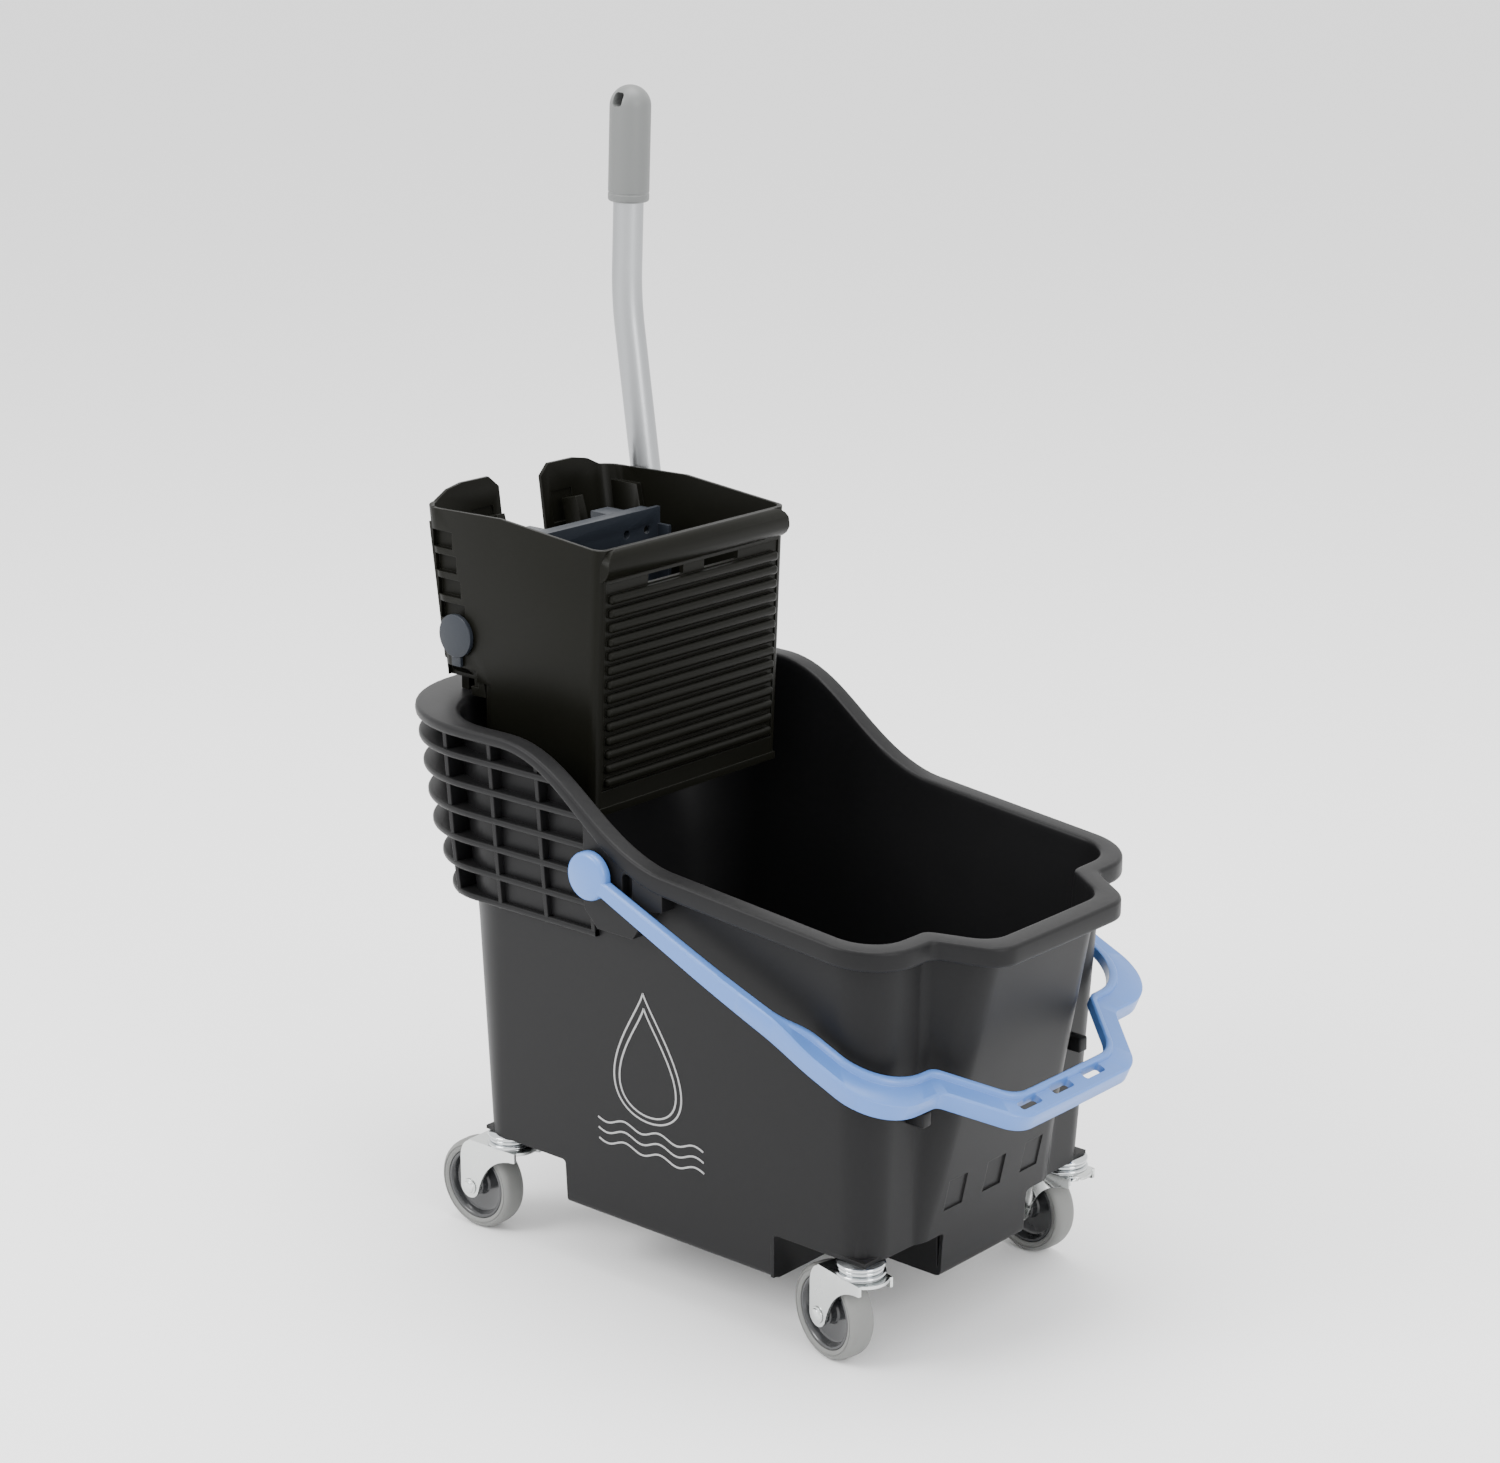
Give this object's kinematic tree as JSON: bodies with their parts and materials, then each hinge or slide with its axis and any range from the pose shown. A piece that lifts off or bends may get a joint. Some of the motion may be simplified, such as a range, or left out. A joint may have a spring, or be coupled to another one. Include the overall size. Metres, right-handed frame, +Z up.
{
  "type": "mop bucket with press wringer",
  "caption": "Wheeled mopping bucket with a high back, a pouring nose, a carrying bail and a lift-off lever press wringer.",
  "frame": {"origin": "on the ground, under the middle of the whole object's box", "axes": "+Z up; +X from the high back, where the wringer hangs, towards the low pouring nose; +Y towards the side the lever stands on"},
  "size_m": [0.5854, 0.358, 0.8959],
  "materials": {
    "bucket_plastic": "fine moulded grain, satin",
    "wringer_plastic": "satin moulded black",
    "press_plastic": "satin moulded slate",
    "bail_plastic": "satin moulded blue",
    "grip_vinyl": "dipped vinyl, low sheen",
    "lever_steel": "satin silver tube",
    "zinc_plate": "bright zinc plate on pressed steel",
    "race_steel": "bright pressed rings",
    "hub_plastic": "glossy black moulding",
    "tyre_rubber": "non-marking light grey rubber"
  },
  "bodies": {
    "bucket": {"bucket_shell": "bucket_plastic", "front_near_stem": "zinc_plate", "front_near_ball_race": "race_steel", "front_far_stem": "zinc_plate", "front_far_ball_race": "race_steel", "rear_near_stem": "zinc_plate", "rear_near_ball_race": "race_steel", "rear_far_stem": "zinc_plate", "rear_far_ball_race": "race_steel"},
    "bail": {"bail_handle": "bail_plastic"},
    "wringer": {"wringer_frame": "wringer_plastic", "ribbed_front_panel": "wringer_plastic", "drain_floor": "wringer_plastic", "near_pivot_cap": "press_plastic", "far_pivot_bush": "press_plastic"},
    "lever": {"press_axle": "zinc_plate", "near_cam": "press_plastic", "far_cam": "press_plastic", "lever_socket": "wringer_plastic", "lever_nut": "zinc_plate", "lever_tube": "lever_steel", "lever_grip": "grip_vinyl"},
    "press": {"press_plate": "press_plastic"},
    "front_near_swivel": {"front_near_fork": "zinc_plate", "front_near_axle_bolt": "zinc_plate"},
    "front_near_wheel": {"front_near_hub": "hub_plastic", "front_near_tyre": "tyre_rubber"},
    "front_far_swivel": {"front_far_fork": "zinc_plate", "front_far_axle_bolt": "zinc_plate"},
    "front_far_wheel": {"front_far_hub": "hub_plastic", "front_far_tyre": "tyre_rubber"},
    "rear_near_swivel": {"rear_near_fork": "zinc_plate", "rear_near_axle_bolt": "zinc_plate"},
    "rear_near_wheel": {"rear_near_hub": "hub_plastic", "rear_near_tyre": "tyre_rubber"},
    "rear_far_swivel": {"rear_far_fork": "zinc_plate", "rear_far_axle_bolt": "zinc_plate"},
    "rear_far_wheel": {"rear_far_hub": "hub_plastic", "rear_far_tyre": "tyre_rubber"}
  },
  "joints": [
    {"name": "bail_swing", "type": "hinge", "parent": "bucket", "child": "bail", "pos_m": [-0.03967, 0, 0.35], "axis": [0, -1, 0], "range_deg": [0, 112]},
    {"name": "wringer_lift", "type": "slide", "parent": "bucket", "child": "wringer", "axis": [0, 0, 1], "range_m": [0, 0.25]},
    {"name": "lever_swing", "type": "hinge", "parent": "wringer", "child": "lever", "pos_m": [-0.24267, 0, 0.487], "axis": [0, 1, 0], "range_deg": [0, 75]},
    {"name": "press_slide", "type": "slide", "parent": "wringer", "child": "press", "axis": [1, 0, 0], "range_m": [0, 0.0735]},
    {"name": "front_near_swivel_turn", "type": "hinge", "parent": "bucket", "child": "front_near_swivel", "pos_m": [0.18733, -0.127, 0.079], "axis": [0, 0, 1], "continuous": true},
    {"name": "front_near_wheel_spin", "type": "hinge", "parent": "front_near_swivel", "child": "front_near_wheel", "pos_m": [0.15615, -0.1198, 0.0375], "axis": [0.225, 0.9744, 0], "continuous": true},
    {"name": "front_far_swivel_turn", "type": "hinge", "parent": "bucket", "child": "front_far_swivel", "pos_m": [0.18733, 0.127, 0.079], "axis": [0, 0, 1], "continuous": true},
    {"name": "front_far_wheel_spin", "type": "hinge", "parent": "front_far_swivel", "child": "front_far_wheel", "pos_m": [0.15541, 0.12923, 0.0375], "axis": [0.0698, 0.9976, 0], "continuous": true},
    {"name": "rear_near_swivel_turn", "type": "hinge", "parent": "bucket", "child": "rear_near_swivel", "pos_m": [-0.17667, -0.127, 0.079], "axis": [0, 0, 1], "continuous": true},
    {"name": "rear_near_wheel_spin", "type": "hinge", "parent": "rear_near_swivel", "child": "rear_near_wheel", "pos_m": [-0.20865, -0.12812, 0.0375], "axis": [-0.0349, 0.9994, 0], "continuous": true},
    {"name": "rear_far_swivel_turn", "type": "hinge", "parent": "bucket", "child": "rear_far_swivel", "pos_m": [-0.17667, 0.127, 0.079], "axis": [0, 0, 1], "continuous": true},
    {"name": "rear_far_wheel_spin", "type": "hinge", "parent": "rear_far_swivel", "child": "rear_far_wheel", "pos_m": [-0.20827, 0.12199, 0.0375], "axis": [-0.1564, 0.9877, 0], "continuous": true}
  ],
  "couplings": [
    {"joint": "press_slide", "follows": "lever_swing", "m_per_rad": 0.0559}
  ]
}
